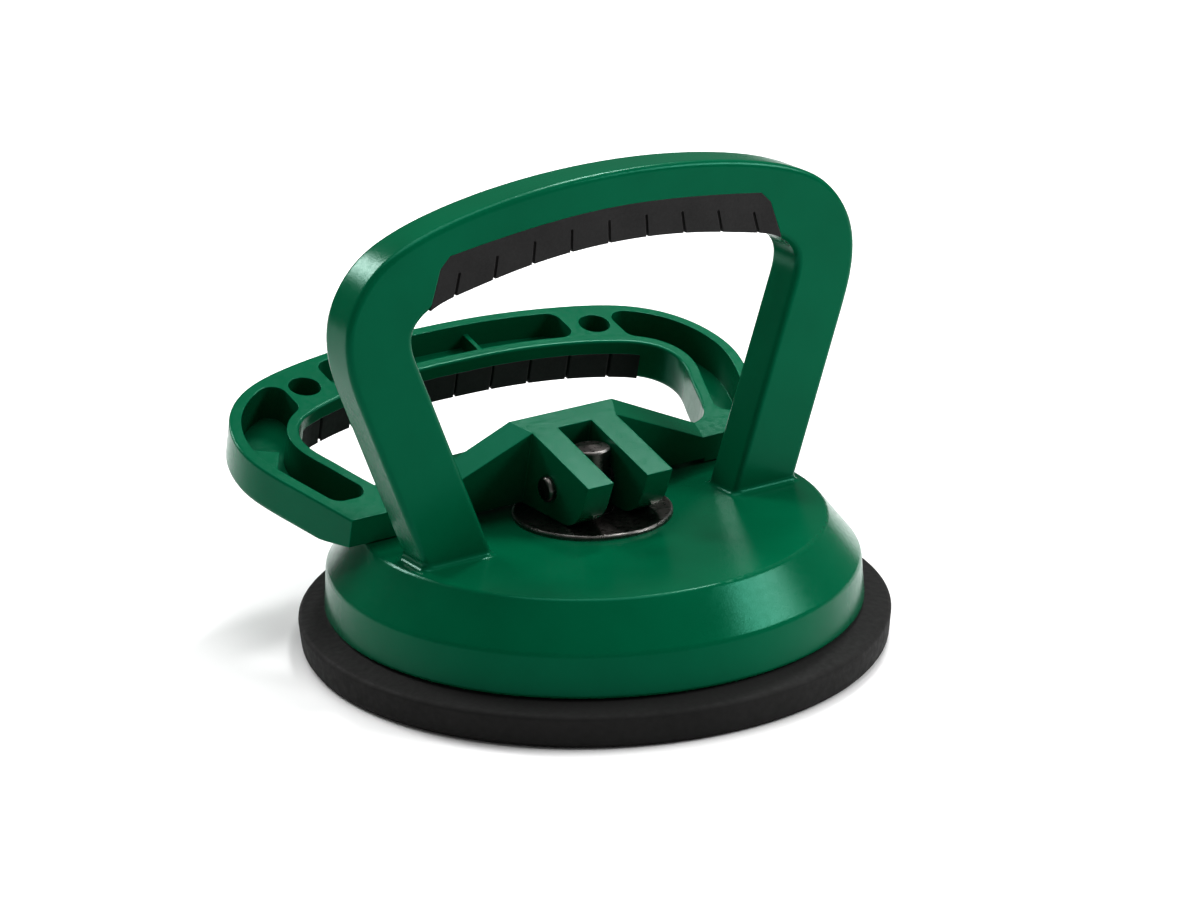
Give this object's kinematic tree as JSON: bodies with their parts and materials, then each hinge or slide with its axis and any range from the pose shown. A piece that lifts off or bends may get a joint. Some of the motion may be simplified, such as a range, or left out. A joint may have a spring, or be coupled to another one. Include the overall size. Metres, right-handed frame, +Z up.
{
  "type": "vacuum suction lifter",
  "caption": "Single-pad vacuum suction lifter: round rubber pad, domed housing with fixed grab handle and a hinged looped cam lever that draws the pad up to grip smooth surfaces.",
  "frame": {"origin": "centre of the rubber pad's flat underside", "axes": "+Z up out of the work surface; +X along the lever's pivot pin; -Y towards the fixed handle's front; +Y the side the open lever lies on"},
  "size_m": [0.12, 0.1272, 0.0983],
  "materials": {
    "green_moulding": "satin, fine grain",
    "soft_grip": "matt",
    "pad_rubber": "matt",
    "black_steel": "blackened, semi-gloss",
    "zinc_steel": "zinc plated",
    "bush_plastic": "natural acetal"
  },
  "bodies": {
    "base": {"base_housing": "green_moulding", "handle_grip": "soft_grip", "cam_washer": "black_steel", "guide_bush": "bush_plastic", "spring_seat": "zinc_steel", "suction_pad": "pad_rubber", "return_spring": "zinc_steel"},
    "post": {"stud": "black_steel", "pivot_pin": "black_steel", "pin_caps": "black_steel", "backing_plate": "zinc_steel", "stud_shim": "zinc_steel", "stud_nut": "zinc_steel"},
    "lever": {"cam_lever": "green_moulding", "lever_grip": "soft_grip"}
  },
  "joints": [
    {"name": "stud_lift", "type": "slide", "parent": "base", "child": "post", "axis": [0, 0, 1], "range_m": [0, 0.00532], "deforming": ["return_spring"]},
    {"name": "lever_turn", "type": "hinge", "parent": "post", "child": "lever", "pos_m": [0, 0, 0.033], "axis": [1, 0, 0], "range_deg": [0, 66]}
  ],
  "couplings": [
    {"joint": "stud_lift", "follows": "lever_turn", "m_per_rad": 0.0046184}
  ]
}
